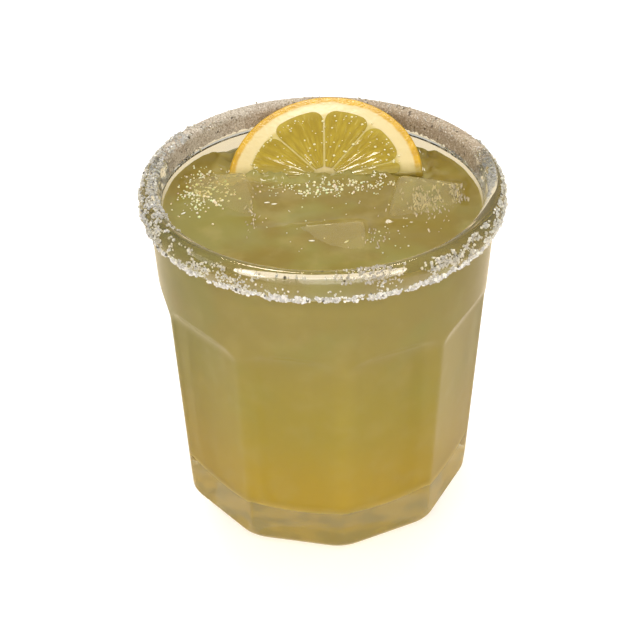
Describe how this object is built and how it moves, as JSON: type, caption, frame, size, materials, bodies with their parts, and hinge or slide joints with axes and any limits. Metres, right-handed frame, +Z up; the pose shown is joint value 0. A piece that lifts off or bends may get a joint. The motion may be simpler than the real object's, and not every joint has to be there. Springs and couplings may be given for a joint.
{
  "type": "glass of iced lemonade",
  "caption": "Pale cloudy lemonade with ice in a ten-sided pressed glass tumbler, its lip crusted with coarse crystals, and half a lemon slice leaning on the rim.",
  "frame": {"origin": "centre of the tumbler's flat base, on the surface it stands on", "axes": "+Z up the glass, -Y towards the viewer of the picture, +X to the viewer's right; the lemon slice leans on the rim at +Y"},
  "size_m": [0.0904, 0.0905, 0.091],
  "materials": {
    "glass": "clear pressed glass with a faint green tint, white crystals stuck to the lip",
    "lemonade": "cloudy yellow liquid, wet and glossy on top",
    "lemon": "wet lemon flesh, pale pith and yellow peel",
    "ice": "wet clear ice with cloudy streaks"
  },
  "bodies": {
    "root": {"glass": "glass", "lemonade": "lemonade", "lemon_slice": "lemon", "ice_right": "ice", "ice_left": "ice", "ice_front": "ice"}
  },
  "joints": []
}
